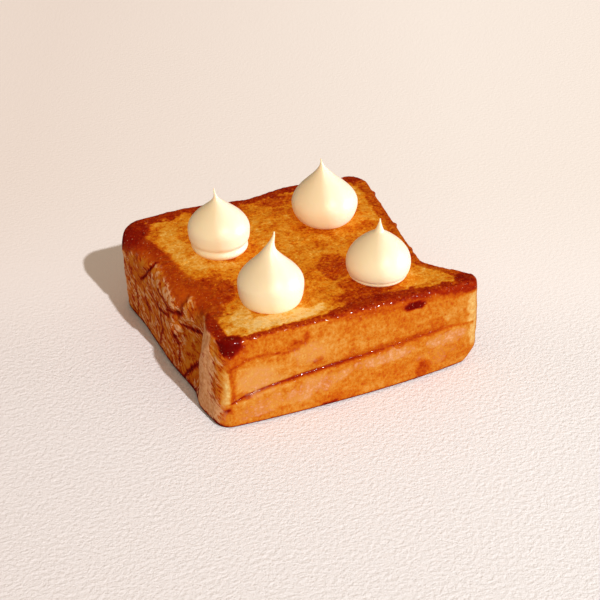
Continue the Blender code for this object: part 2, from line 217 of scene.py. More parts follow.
# Where glaze has pooled and burnt, at the corners and along the front half of the left edge: the middle, the
# half sizes and the tone.
CORNER_SPOTS = (
    ((-60.5, 50), (11.5, 11.5), 0.9),
    ((-55, -38), (3.6, 15), 0.86),
    ((-53.5, -51.5), (6, 3.6), 1.0),
    ((57, -50), (8, 7), 0.9),
    ((52, 54), (9, 7), 0.8),
)
FRONT_TONE = (0.48, 0.09, 0.05)
FRONT_PATCHES = (
    (-14, 26.5, 10, 5.5, 0.37, 0.9),
    (-42, 19, 13, 8, 0.36, 0.9, 10),
    (58, 22, 3.5, 13, 0.16, 0.95),
    (-38, 34, 15, 3.5, 0.52, 0.9, 3),
    (20, 31, 24, 4, 0.55, 0.7, 2),
    (8, 25, 9, 5, 0.44, 0.6, 20),
    (28, 24, 9, 4, 0.54, 0.5, -20),
    (-48, 5, 7, 3.5, 0.52, 0.6, 10),
    (32, 5, 4, 3.5, 0.72, 0.9, 20),
    (40, 24, 3.2, 2, 0.64, 0.8),
    (-16, 21, 2.4, 1.4, 0.66, 0.9, 20),
    (-49, 13.5, 3.5, 1.4, 0.68, 0.8, -15),
    (-8, 3, 10, 2.6, 0.62, 0.8),
    (18, 8, 12, 3, 0.56, 0.5, 8),
    (48, 8, 8, 4, 0.56, 0.5, -5),
)
# Where a pale film shows through the front's glaze, with painted highlights on the lower lip; the targets are
# amounts.
FRONT_DUST_AND_SHEEN = (
    (-18, 10.5, 14, 3.6, 0.5, 1, 9),
    (-42, 7, 10, 4, 0.34, 1, 15),
    (14, 15, 15, 2.6, 0.58, 1, 3),
    (44, 15.5, 11, 2.8, 0.55, 1, 2),
    (38, 9, 9, 4, 0.25, 1, 5),
    (-43, 18, 9, 6, 0.35, 1),
    (-20, 26, 8, 5, 0.25, 1),
    (-5, 13, 4, 2, 0.5, 1, 10),
    (32, 5, 5, 4.5, 0, 0.9, 20),
)
# The edge of a run of glaze on the front, as (x, height).
TIDE_LINE = ((-55, 25), (-52, 27), (-47, 28.6), (-40, 29.2), (-35, 29.2), (-30, 28.2), (-24, 28.6))
# Dark lines on the front: their half width, how dark they are, and their points.
FRONT_LINES = (
    (0.6, 0.8, *TIDE_LINE),
    (1.3, 0.72, (-26, 31.5), (-21, 30.5), (-20, 34)),
    (0.7, 0.97, (-59, 8.5), (-57, 7.6), (-55.5, 8.4)),
    (0.6, 0.92, (-15, 1.6), (-12, 1.4), (-9, 1.8)),
    (0.6, 0.56, (1, 36), (0, 19), (-1, 4)),
    (0.6, 0.6, (38, 22), (46, 20.5), (57, 19.6)),
    (1.3, 0.68, (-53.6, 25), (-53, 18), (-53.6, 12)),
    (0.8, 0.76, (-58.6, 26), (-59, 17), (-59.6, 9)),
)

# Glaze burnt black under the front's rim, over the front left corner on the front and on the left, and at the
# back end of the left: the middle and the half sizes. The halo is where the corner's glaze has thinned out.
RIM_BLOB = ((28.5, 34.4), (5, 1.8))
FRONT_CORNER = ((-55, 38.6), (8, 7.6))
CORNER_HALO = ((-55, 38), (8.5, 8))
LEFT_CORNER = ((-54, 39), (7.5, 8))
SCORCHED_END = ((58, 42), (27, 12))
# The pale strip of crust beside the front left corner, and the heights over which it starts and ends.
STRIP_X = -56.2
STRIP_FOOT = (9.5, 11)
STRIP_HEAD = (27, 24.5)

# How high the left crust's dry part reaches before it turns into the smooth glazed shoulder, as (y, height).
SHOULDER_EDGE = (
    (-60, 38.2), (-27, 38.4), (-24, 34), (-20, 34.5), (-16, 36), (-12, 37.2), (-10, 31), (-8, 29.5), (-6, 34),
    (1, 36), (12, 37.3), (19, 38.2), (22, 35.8), (34, 35), (40, 33.5), (46, 30.5), (60, 28),
)
LEFT_TONE = (0.56, 0.08, 0.06)
LOBE_TONE = (0.54, 0.08, 0)
SHOULDER_TONE = (0.72, 0, 0.05)
# Dark cracks in the left crust, and painted shade along its folds: as on the front, with their points as (y,
# height).
LEFT_LINES = (
    # Painted shade along the four pressed-in folds.
    (0.9, 0.95, (29, 25), (23, 30), (19.5, 35), (19, 38)),
    (1.1, 0.93, (-11, 38), (-10, 34), (-10, 28)),
    (1.0, 0.93, (1, 24.5), (-4, 26), (-8.5, 27)),
    (0.9, 0.93, (-10.5, 22.5), (-16, 22.6), (-24, 25)),
    # Cracks.
    (0.6, 0.9, (9, 31), (5, 29.5), (1, 28), (-2, 26.5)),
    (0.7, 0.88, (14, 21.5), (9, 21), (0, 22.5)),
    (0.8, 0.88, (8, 21), (7, 17), (5, 13), (8, 4)),
    # Painted shade in the hollow, and in the crevice behind the front lobe.
    (1.2, 0.95, (-31, 22), (-26, 14), (-21, 8), (-18, 3)),
    (0.8, 0.9, (-31, 22), (-33.5, 14), (-34, 3)),
    # Cracks.
    (0.6, 0.85, (36, 20), (34, 12), (36, 3)),
    (0.6, 0.85, (27, 22), (24, 15), (20, 8)),
    (0.6, 0.85, (-4, 17), (-9, 13), (-12, 6)),
)
# Where the left crust's pale dry film, which also stands for painted sheen, lies thick or thin; the targets
# are amounts.
LEFT_DUST_AND_SHEEN = 0.76
LEFT_DUST_AND_SHEEN_PATCHES = (
    (42, 17, 6, 8, 0.95, 1),
    (6, 32, 15, 6, 0.95, 1),
    (18, 20, 9, 7, 0.75, 1, -20),
    (30, 29, 9, 8, 0.42, 1),
    (-22, 12, 9, 8, 0.25, 0.9),
    (-15, 31, 4, 5, 0.7, 1),
    (-23, 32, 4, 6, 0.2, 0.9),
    # The front lobe's pale face: painted reflection.
    (-39, 20, 13, 34, 1.1, 1),
    (-47, 34, 3, 5, 0.2, 0.9),
)
# The right and the back carry the tin's even crust, and the underside is browned crumb.
PLAIN_TONE = (0.58, 0.09, 0.07)
UNDERSIDE_TONE = (0.45, 0.16, 0.1)
# The way the left crust's cracks and strokes run, as a climb towards the front.
STROKE_CLIMB = math.radians(-31)


def smooth(low, high, value):
    """0 at low, 1 at high, an S between them and level beyond; low may be the larger."""
    share = np.clip((value - low) / (high - low), 0, 1)
    return share * share * (3 - 2 * share)


def blended(value, target, share):
    return value + (target - value) * share


def bell(value, centre, width):
    return np.exp(-(((value - centre) / width) ** 2))


def eased(amount, start, end, value):
    """0 up to the start, and the whole amount from the end on."""
    return amount * smooth(start, end, value)


def swell(amount, centre, width, value):
    """The whole amount at the centre, fading out to both sides of it."""
    return amount * bell(value, centre, width)


FRONT, RIGHT, BACK, LEFT = np.array(((0, -1), (1, 0), (0, 1), (-1, 0)))


def facing(outward, side, power=2):
    """How much each outward normal faces a side, from 0 to 1."""
    return np.clip(outward @ side, 0, 1) ** power


# Noise for the browning and the fine relief: directions and jitters on a lattice that repeats.
LATTICE = 32
lattice_draws = np.random.default_rng(11)
DIRECTIONS = lattice_draws.normal(size=(LATTICE, LATTICE, LATTICE, 3))
DIRECTIONS /= np.linalg.norm(DIRECTIONS, axis=-1, keepdims=True)
JITTERS = lattice_draws.uniform(0, 1, size=(LATTICE, LATTICE, LATTICE, 3))


def at_lattice(table, cell):
    return table[tuple((cell % LATTICE).T)]


def grain(points, size, seed):
    """Smooth noise between about -1 and 1, with lumps about size across."""
    at = points / size + seed * np.array((5.31, 9.17, 3.73))
    low = np.floor(at).astype(int)
    part = at - low
    fade = part**3 * (part * (part * 6 - 15) + 10)
    total = np.zeros(len(points))
    for corner in np.ndindex(2, 2, 2):
        share = np.prod(np.where(np.array(corner, bool), fade, 1 - fade), axis=1)
        total += share * np.sum(at_lattice(DIRECTIONS, low + corner) * (part - corner), axis=1)
    return 1.7 * total


def cracks(points, size, seed):
    """How far each point is from the border between irregular cells, from 0 on it to about 1 inside."""
    at = points / size + seed * np.array((3.7, 8.3, 6.1))
    low = np.floor(at).astype(int)
    nearest = np.full(len(points), 9.0)
    second = np.full(len(points), 9.0)
    for step in np.ndindex(3, 3, 3):
        cell = low + step - 1
        away = np.linalg.norm(cell + at_lattice(JITTERS, cell) - at, axis=1)
        second = np.minimum(second, np.maximum(nearest, away))
        nearest = np.minimum(nearest, away)
    return second - nearest


def valley(y, reach):
    """1 at the waist, down straight flanks to 0 at each end of its reach, with a soft bottom."""
    flank = np.where(y < VALLEY_Y, *reach)
    away = np.hypot((y - VALLEY_Y) / flank, VALLEY_SOFTNESS) - VALLEY_SOFTNESS
    return np.clip(1 - away, 0, 1)


def lumps(points, height, size, seed):
    """Smooth noise of a height at each point, with lumps about size across, as in the solid."""
    shift = Vector((7.3, 3.1, 5.7)) * seed
    return height * np.array([noise.noise(Vector(point) / size + shift) for point in points])


# The four sides' lines in plan, as distances from the middle; up is the share of the slice's thickness.
def right_line(y, up):
    waist = RIGHT_VALLEY_DEPTH * valley(y, RIGHT_VALLEY_REACH)
    barrel = RIGHT_BARREL * np.sin(math.pi * up)
    corner = eased(*RIGHT_CORNER, y)
    cut = eased(*RIGHT_FOOT_CUT, y) * smooth(RIGHT_FOOT_CUT_TOP, 0, up)
    return RIGHT_REACH - waist + barrel + corner - cut


def left_line(y, up):
    forwards = LEFT_VALLEY_REACH[0] + eased(*LEFT_VALLEY_OPENS, up)
    depth = eased(*LEFT_VALLEY_DEPTH, up) - eased(*LEFT_VALLEY_CLOSES, up)
    waist = depth * valley(y, (forwards, LEFT_VALLEY_REACH[1]))
    tuck = eased(*LEFT_TUCK, y) + eased(*LEFT_SET_BACK, y) - eased(*LEFT_OVERHANG, y)
    spread = eased(*LEFT_FOOT_SPREAD, up) * smooth(-32, -5, y) * smooth(34, 12, y)
    return LEFT_REACH + eased(*LEFT_FLARE, y) + swell(*LEFT_LOBE, y) + spread - up * tuck - waist


def front_line(x, up):
    foot = FRONT_FOOT_REACH - FRONT_BOW * np.abs((x - FRONT_BOW_MIDDLE) / FRONT_BOW_REACH) ** FRONT_BOW_POWER
    return foot + (FRONT_RIM_REACH - foot) * up


def back_line(x, up):
    return BACK_REACH - swell(*BACK_DIP, x) - eased(*BACK_SLOPE, x) - BACK_LEAN * (1 - up)


def plan(x, y, up):
    """A point of the plain block, moved to where the slice's sides put it at that height."""
    side_x = np.where(x > 0, right_line(y, up), left_line(y, up))
    side_y = np.where(y > 0, back_line(x, up), front_line(x, up))
    return x * side_x / HALF_X, y * side_y / HALF_Y


def crease_height(x):
    drop = CREASE_DROP * np.exp(-(x - CREASE_ENDS[0]) / CREASE_DROP_REACH)
    return CREASE_HEIGHT + CREASE_SLOPE * x - drop


def crease_relief(x, z):
    """How far the front crust stands out round its fold: a lip below, a groove, and a step back above."""
    above = z - crease_height(x)
    fade = smooth(CREASE_ENDS[0] - 4, CREASE_ENDS[0] + 4, x)
    fade = fade * smooth(CREASE_ENDS[1] + 8, CREASE_ENDS[1] - 14, x)
    groove = -CREASE_GROOVE * bell(above, 0, 0.7 * CREASE_HALF_WIDTH)
    lip = LIP_PROUD * np.exp(np.minimum(above, 0) / 5)
    step = -LIP_STEP * np.exp(-np.maximum(above, 0) / 8)
    across = smooth(-CREASE_HALF_WIDTH, CREASE_HALF_WIDTH, above)
    return fade * (groove + lip + (step - lip) * across)


def beside(u, v, start, end):
    """How far along a stretch each point is, as a share, how far off it, and the stretch's length."""
    run_u, run_v = end[0] - start[0], end[1] - start[1]
    length = math.hypot(run_u, run_v)
    off_u, off_v = u - start[0], v - start[1]
    return (off_u * run_u + off_v * run_v) / length**2, (off_v * run_u - off_u * run_v) / length, length


def left_relief(y, z):
    """How far the left crust stands out: its folds are pressed in along straight lines."""
    relief = np.zeros_like(y)
    for start, end, depth, width in LEFT_FOLDS:
        share, off = beside(y, z, start, end)[:2]
        relief -= depth * smooth(-0.1, 0.1, share) * smooth(1.1, 0.9, share) * bell(off, 0, width)
    return relief


def crumb_relief(x, y):
    """Height of the toasted crumb over the cut plane: it sags across the waist, with level seats."""
    line = VALLEY_Y + 3 * np.sin(x / 14)
    height = -swell(WAIST_SAG, line, WAIST_SAG_WIDTH, y) - eased(*LEFT_SAG, x)
    height += eased(*FRONT_RIM_PROUD, y) * smooth(-10, 20, x)
    flat = np.stack([x, y, np.zeros_like(x)], -1)
    for seed, (lump_height, lump_size) in enumerate(CRUMB_LUMPS, start=1):
        height += lumps(flat, lump_height, lump_size, seed)
    return height * off_the_seats(x, y)


def off_the_seats(x, y):
    """0 on the level seats under the dollops, 1 away from them."""
    clear = np.ones_like(x)
    for dollop in DOLLOPS.values():
        away = np.hypot(x - dollop.place[0], y - dollop.place[1])
        clear *= smooth(SEAT_RADIUS, SEAT_RADIUS + SEAT_BLEND, away)
    return clear


def perimeter():
    """The plain block's outline: its points and their outward normals.

    Each side runs from the middle of one rounded corner to the middle of the next.
    """
    points, normals = [], []
    for side, (sign_x, sign_y, radius) in enumerate(CORNERS):
        next_x, next_y, next_radius = CORNERS[(side + 1) % 4]
        pivot = np.array((sign_x * (HALF_X - radius), sign_y * (HALF_Y - radius)))
        next_pivot = np.array((next_x * (HALF_X - next_radius), next_y * (HALF_Y - next_radius)))
        # How far along the side it leaves its first arc, meets its last one, and ends.
        leaves = radius * math.pi / 4
        meets = leaves + np.abs(next_pivot - pivot).max()
        length = meets + next_radius * math.pi / 4
        count = (STEPS_X, STEPS_Y)[side % 2]
        travelled = length * np.arange(count) / count
        turned = np.interp(travelled, (0, leaves, meets, length), (-0.5, 0, 0, 0.5))
        angle = math.pi / 2 * (side - 1 + turned)
        normal = np.stack([np.cos(angle), np.sin(angle)], -1)
        share = np.interp(travelled, (leaves, meets), (0, 1))[:, None]
        points.append(blended(pivot, next_pivot, share) + normal * blended(radius, next_radius, share))
        normals.append(normal)
    return np.concatenate(points), np.concatenate(normals)


def rim_radius(points, normals):
    """Rounding at the top of the wall: soft along the left crust, except on the crisp crown."""
    shoulder = eased(*SHOULDER_RADIUS, points[:, 1])
    return RIM_RADIUS + facing(normals, LEFT) * np.clip(shoulder - RIM_RADIUS, 0, None)


def wall_rows(points, normals):
    """Inset and height of each row of the wall, from the foot to the rim, at each point of the outline."""
    rim = rim_radius(points, normals)
    none = np.zeros_like(rim)
    middle = CREASE_HEIGHT + facing(normals, FRONT) * (crease_height(points[:, 0]) - CREASE_HEIGHT)
    below = middle - 1.6 * CREASE_HALF_WIDTH
    above = middle + 1.6 * CREASE_HALF_WIDTH
    top = THICKNESS - rim
    rows = []
    for step in range(ROWS_FOOT):
        angle = math.pi / 2 * step / ROWS_FOOT
        inset = FOOT_RADIUS * (1 - math.sin(angle))
        height = FOOT_RADIUS * (1 - math.cos(angle))
        rows.append((none + inset, none + height))
    stretches = ((FOOT_RADIUS, below, ROWS_LOWER), (below, above, ROWS_CREASE), (above, top, ROWS_UPPER))
    for start, end, count in stretches:
        for step in range(count):
            rows.append((none, start + (end - start) * step / count))
    for step in range(ROWS_RIM + 1):
        angle = math.pi / 2 * step / ROWS_RIM
        rows.append((rim * (1 - math.cos(angle)), top + rim * math.sin(angle)))
    return rows


def bent(block, normals, heights):
    """Where the plain block's points, with their outward normals, lie on the finished slice."""
    x, y = plan(block[:, 0], block[:, 1], heights / THICKNESS)
    # Towards the top face the relief turns from the wall's to the crumb's, and the foot stays level.
    topness = smooth(THICKNESS - 3, THICKNESS, heights)
    footing = smooth(0, 4, heights)
    frontness = smooth(0.6, 0.95, -normals[:, 1])
    leftness = smooth(0.6, 0.95, -normals[:, 0])
    out = frontness * crease_relief(block[:, 0], heights) + leftness * left_relief(y, heights)
    out += lumps(np.stack([x, y, heights], -1), *CRUST_LUMPS, seed=3)
    out *= (1 - topness) * footing
    z = heights + topness * crumb_relief(x, y)
    x += normals[:, 0] * out
    y += normals[:, 1] * out
    return np.stack([x, y, z], -1)


def four_sides(ring):
    """The front, right, back and left of a closed ring; the back runs rightwards and the left backwards."""
    closed = np.concatenate([ring, ring[:1]])
    ends = np.cumsum((0, STEPS_X, STEPS_Y, STEPS_X, STEPS_Y))
    front, right, back, left = (closed[start:end + 1] for start, end in zip(ends, ends[1:]))
    return front, right, back[::-1], left[::-1]


def inner_grid(ring):
    """Points that fill the ring evenly, as a Coons patch between its four sides: rows from the front."""
    front, right, back, left = four_sides(ring)
    u = np.linspace(0, 1, STEPS_X + 1)[None, :, None]
    v = np.linspace(0, 1, STEPS_Y + 1)[:, None, None]
    between_front_and_back = (1 - v) * front[None] + v * back[None]
    between_left_and_right = (1 - u) * left[:, None] + u * right[:, None]
    corners = (1 - v) * ((1 - u) * front[0] + u * front[-1]) + v * ((1 - u) * back[0] + u * back[-1])
    return between_front_and_back + between_left_and_right - corners


def quads(ids):
    """The four-sided faces of a grid of vertex numbers."""
    return np.stack([ids[:-1, :-1], ids[:-1, 1:], ids[1:, 1:], ids[1:, :-1]], -1).reshape(-1, 4)


def fan(ring, middle):
    """Triangles from each edge of a closed ring of vertex numbers to a middle one."""
    return [(int(start), int(end), middle) for start, end in zip(ring, np.roll(ring, -1))]


def ringed(ids):
    """The same grid with its first column repeated after its last, so that it closes on itself."""
    return np.concatenate([ids, ids[:, :1]], axis=1)


class Slice:
    """The slice's surface.

    It has points and faces, and for each point what the relief and the browning need: its place on the plain
    block, the block's outward normal there, and its height before the relief.
    """

    def __init__(self):
        outline, outward = perimeter()
        rows = wall_rows(outline, outward)
        count = len(outline)
        walls = [outline - outward * inset[:, None] for inset, height in rows]
        inner = inner_grid(walls[-1])[1:-1, 1:-1].reshape(-1, 2)
        under = [walls[0] * (1 - share) for share in UNDERSIDE_RINGS] + [np.zeros((1, 2))]

        self.block = np.concatenate(walls + [inner] + under)
        none = np.zeros_like(np.concatenate([inner] + under))
        self.outward = np.concatenate([np.tile(outward, (len(rows), 1)), none])
        heights = [height for inset, height in rows] + [np.full(len(inner), THICKNESS)]
        heights.append(np.zeros(len(none) - len(inner)))
        self.height = np.concatenate(heights)
        self.points = bent(self.block, self.outward, self.height)
        self.points[:, 2] = np.where(self.height == 0, 0, self.points[:, 2])

        wall_ids = np.arange(len(rows) * count).reshape(len(rows), count)
        first_inner = len(rows) * count
        top_ids = np.zeros((STEPS_Y + 1, STEPS_X + 1), int)
        top_ids[0], top_ids[:, -1], top_ids[-1], top_ids[:, 0] = four_sides(wall_ids[-1])
        top_ids[1:-1, 1:-1] = first_inner + np.arange(len(inner)).reshape(STEPS_Y - 1, STEPS_X - 1)
        first_under = first_inner + len(inner)
        under_ids = first_under + np.arange(len(UNDERSIDE_RINGS) * count).reshape(-1, count)
        under_ids = np.concatenate([wall_ids[:1], under_ids])
        underside = quads(ringed(under_ids))[:, ::-1]
        faces = np.concatenate([quads(ringed(wall_ids)), quads(top_ids), underside]).tolist()
        self.faces = faces + fan(under_ids[-1][::-1], len(self.points) - 1)


def make_toast():
    surface = Slice()
    mesh = bpy.data.meshes.new("bread")
    mesh.from_pydata(surface.points.tolist(), [], surface.faces)
    normals = np.zeros(surface.points.size)
    mesh.vertices.foreach_get("normal", normals)
    fields = Browning(surface).fields()
    placed = surface.points + normals.reshape(-1, 3) * fine_relief(surface, fields)[:, None]
    placed[:, 2] = np.maximum(placed[:, 2], 0)
    placed[:, :2] -= BOX_MIDDLE
    mesh.vertices.foreach_set("co", (placed * MM).ravel())
    for name, values in fields.items():
        mesh.attributes.new(name, "FLOAT", "POINT").data.foreach_set("value", values.astype(np.float32))
    mesh.materials.append(toast_material())
    mesh.shade_smooth()
    mesh.update()
    return as_piece("bread", mesh, "toast")


def at_least(value, target, share):
    """The value, raised towards the target where it is under it."""
    return blended(value, np.maximum(target, value), share)


def in_spot(u, v, spot, fray, inner=0.75, outer=1.1):
    """1 inside a spot, 0 outside it, by shares of its half sizes; fray is noise that frays its edge."""
    middle, (half_u, half_v) = spot
    return smooth(outer, inner, np.hypot((u - middle[0]) / half_u, (v - middle[1]) / half_v) + fray)


def painted(tone, u, v, patches, ragged):
    """The tone with each patch laid over it; ragged is noise that frays the patches' edges."""
    for middle_u, middle_v, half_u, half_v, target, strength, *turn in patches:
        angle = math.radians(sum(turn))
        off_u, off_v = u - middle_u, v - middle_v
        along = (off_u * math.cos(angle) + off_v * math.sin(angle)) / half_u
        across = (off_v * math.cos(angle) - off_u * math.sin(angle)) / half_v
        inside = smooth(1.25, 0.75, np.hypot(along, across) + 0.4 * ragged)
        tone = blended(tone, target, strength * inside)
    return tone


def off_line(u, v, line):
    """How far each point lies from a line through the given points."""
    stretches = (beside(u, v, start, end) for start, end in zip(line, line[1:]))
    away = [np.hypot(off, (share - np.clip(share, 0, 1)) * length) for share, off, length in stretches]
    return np.min(away, axis=0)


def edge_along(u, line):
    """The second value of a line's points at each place along its first."""
    return np.interp(u, *np.array(sorted(line)).T)


class Browning:
    """Tone, dust and gloss over the slice's surface, side by side. Tone is 0 pale, 0.5 amber and 1 burnt.

    The dust carries painted sheen and highlights, and some of the tone's darkening is painted shade.
    """

    def __init__(self, surface):
        points = surface.points
        self.x, self.y, self.z = points.T
        self.block, self.outward, self.height = surface.block, surface.outward, surface.height
        self.slow = grain(points, 11, 1)
        self.middling = grain(points, 4.5, 2) + 0.5 * grain(points, 2.2, 3)
        self.ragged = 0.5 * self.slow + 0.7 * self.middling + 0.4 * grain(points, 1.6, 4)
        self.down = THICKNESS - surface.height

    def mottled(self, tone, middling, slow):
        return tone + middling * self.middling + slow * self.slow

    def crumb(self):
        """The cut face: pale and browned patches, painted shade by the cream, and each side's own border."""
        x, y, block = self.x, self.y, self.block
        tone = painted(self.mottled(*CRUMB_TONE), x, y, CRUMB_PATCHES, self.ragged)
        burnt = smooth(-14, 4, x)
        left_tone = 0.72 + 0.08 * smooth(12, 34, y)
        left_fray = 0.08 + 0.3 * smooth(-18, -26, y)
        borders = (
            (HALF_Y + block[:, 1], edge_along(x, FRONT_BAND), 0.76 + 0.06 * burnt, 0.4),
            (HALF_X + block[:, 0], edge_along(y, LEFT_BAND), left_tone, left_fray),
            (HALF_Y - block[:, 1], *BACK_BORDER),
            (HALF_X - block[:, 0], *RIGHT_BORDER),
        )
        for inward, width, target, fray in borders:
            tone = at_least(tone, target, smooth(1.12, 0.85, inward / width * (1 + fray * self.ragged)))
        for *spot, target in CORNER_SPOTS:
            tone = at_least(tone, target, in_spot(x, y, spot, 0.25 * self.ragged, inner=0.7, outer=1.15))
        return tone

    def front(self):
        """The front crust: glaze run down from the rim, a tide line, the fold, and dust on the lower lip.

        The fold's dark line is painted shade, and the dust on the lower lip carries painted highlights.
        """
        x, z, ragged, down = self.x, self.z, self.ragged, self.down
        tone = painted(self.mottled(*FRONT_TONE), x, z, FRONT_PATCHES, ragged)
        dust_and_sheen = painted(0.05, x, z, FRONT_DUST_AND_SHEEN, ragged)

        over_tide = smooth(0, 0.8, z - edge_along(x, TIDE_LINE)) * smooth(-20, -27, x)
        tone = blended(tone, 0.52, 0.7 * over_tide)
        dust_and_sheen = dust_and_sheen * (1 - over_tide)

        # Glaze that thins as it runs, and over it the burnt edge of the rim.
        glaze = 2.5 + 2.5 * smooth(-14, 0, x) + 1.4 * self.slow + 0.8 * self.middling
        glazed = smooth(glaze + 1.2, glaze - 1.2, down)
        tone = at_least(tone, 0.56 + 0.10 * smooth(-14, 0, x), glazed)
        burnt = 0.5 + 1.2 * smooth(14, 34, x) + 2.2 * smooth(38, 55, x)
        rim = smooth(burnt + 1.0, burnt - 0.4, down + 0.7 * ragged)
        tone = at_least(tone, 0.80 + 0.02 * smooth(-14, 10, x), rim)

        blob = in_spot(x, z, RIM_BLOB, 0.35 * ragged, inner=0.8, outer=1.2)
        corner = in_spot(x, z, FRONT_CORNER, 0.15 * ragged)
        halo = in_spot(x, z, CORNER_HALO, 0, inner=0.9, outer=1.8)
        tone = at_least(tone, 0.66, halo)
        tone = blended(tone, 0.98, blob)
        tone = blended(tone, 1.0, corner)

        strip = smooth(2.0, 1.6, np.abs(x - STRIP_X) + 0.3 * ragged)
        strip = strip * smooth(*STRIP_FOOT, z) * smooth(*STRIP_HEAD, z)
        tone = blended(tone, 0.04, strip)
        for width, target, *line in FRONT_LINES:
            tone = at_least(tone, target, bell(off_line(x, z, line), 0, width))

        # Painted shade along the fold: a thin dark line in its groove, and on the right a broader darker band
        # just over it.
        off_crease = z - crease_height(x)
        fade = smooth(54, 40, x) * smooth(-58, -53, x)
        thin = 0.90 - 0.14 * smooth(-6, 20, x)
        tone = at_least(tone, thin, fade * bell(off_crease, 0, 0.55))
        broad = fade * smooth(-12, 4, x) * smooth(-0.4, 0.4, off_crease) * smooth(3, 1.6, off_crease)
        tone = at_least(tone, 0.64, broad)
        tone = at_least(tone, 0.97, smooth(1.6, 0.7, self.height + 0.4 * ragged))
        wet = np.max([glazed, halo, blob, corner], axis=0)
        return tone, dust_and_sheen * (1 - wet) * (1 - strip)

    def left(self):
        """The left crust: dry plates parted by cracks, under a glazed shoulder that is burnt at the back.

        Its pale film carries painted sheen, and its folds, hollow and crevice carry painted shade.
        """
        y, z, ragged = self.y, self.z, self.ragged
        edge = edge_along(y, SHOULDER_EDGE)
        shoulder = smooth(-0.5, 0.5, z - edge + 0.5 * ragged)
        scorched = in_spot(y, z, SCORCHED_END, 0.15 * ragged)
        start = -32 + 5 * smooth(14, 30, z)
        lobe = smooth(start, start - 2, y)
        tone = blended(self.mottled(*LEFT_TONE), self.mottled(*LOBE_TONE), lobe)
        dust_and_sheen = painted(LEFT_DUST_AND_SHEEN + 0.15 * self.slow, y, z, LEFT_DUST_AND_SHEEN_PATCHES, ragged)
        # The film and its painted sheen are fainter at the front end, except low down.
        faint_front_end = smooth(-45, -50, y) * smooth(8, 14, z)
        dust_and_sheen = dust_and_sheen * (1 - 0.6 * faint_front_end)
        # Cracks, and the painted shade of the folds, hollow and crevice, darken the tone and clear the film.
        for width, target, *line in LEFT_LINES:
            near = bell(off_line(y, z, line), 0, width)
            tone = at_least(tone, target, near)
            dust_and_sheen = dust_and_sheen * (1 - near)
        tone = blended(tone, self.mottled(*SHOULDER_TONE), shoulder * (1 - lobe))
        tone = at_least(tone, 0.91, scorched)
        corner = in_spot(y, z, LEFT_CORNER, 0.15 * ragged)
        tone = blended(tone, 1.0, corner)
        dust_and_sheen = dust_and_sheen * (1 - corner)
        tone = at_least(tone, 1.0, smooth(2.6, 1.6, self.height + 0.4 * ragged))
        dust_and_sheen = dust_and_sheen * (1 - shoulder) * (1 - scorched) * smooth(1, 3, self.height)
        return tone, dust_and_sheen, shoulder

    def fields(self):
        """What the material reads at each point.

        crumb: 1 on the cut faces, 0 on the crust. gloss: how wet with glaze. dust and sheen: how much the
        pale dry film shows, and with it the painted sheen and highlights. streak: 1 where that lies in
        strokes, 0 where it is mottled.
        """
        outward, height = self.outward, self.height
        top = smooth(THICKNESS - 1.6, THICKNESS - 0.2, height)
        under = (height < 0.2).astype(float)
        front, left = facing(outward, FRONT, 4), facing(outward, LEFT, 4)
        plain = facing(outward, BACK, 4) + facing(outward, RIGHT, 4)
        total = front + left + plain + 1e-9

        front_tone, front_dust_and_sheen = self.front()
        left_tone, left_dust_and_sheen, shoulder = self.left()
        plain_tone = self.mottled(*PLAIN_TONE) + 0.2 * smooth(7, 1, self.down)
        walls = (front * front_tone + left * left_tone + plain * plain_tone) / total
        tone = blended(blended(walls, self.crumb(), top), self.mottled(*UNDERSIDE_TONE), under)
        dust_and_sheen = (front * front_dust_and_sheen + left * left_dust_and_sheen + 0.35 * plain) / total * (1 - top) * (1 - under)
        gloss = np.clip(0.1 + 2.2 * (tone - 0.5), 0.05, 1) * (1 - 0.8 * np.clip(dust_and_sheen, 0, 1)) * (1 - 0.4 * top)
        band = smooth(1.05, 0.9, (HALF_X + self.block[:, 0]) / edge_along(self.y, LEFT_BAND))
        gloss = np.maximum(gloss, 0.9 * np.maximum(left / total * shoulder, band * top))
        return {
            "tone": np.clip(tone, 0, 1),
            "crumb": np.clip(top + under, 0, 1),
            "gloss": gloss,
            "dust_and_sheen": np.clip(dust_and_sheen, 0, 1.3),
            "streak": left / total * (1 - top) * (1 - shoulder),
        }


# Small tears that stand out from the right edge: how far along Y, how far out and how wide.
TEARS = ((36.9, 0.9, 1.0), (6.4, 1.1, 1.1), (-15.5, 0.7, 1.4), (27, 0.3, 1.2), (-38.5, 0.5, 0.9))


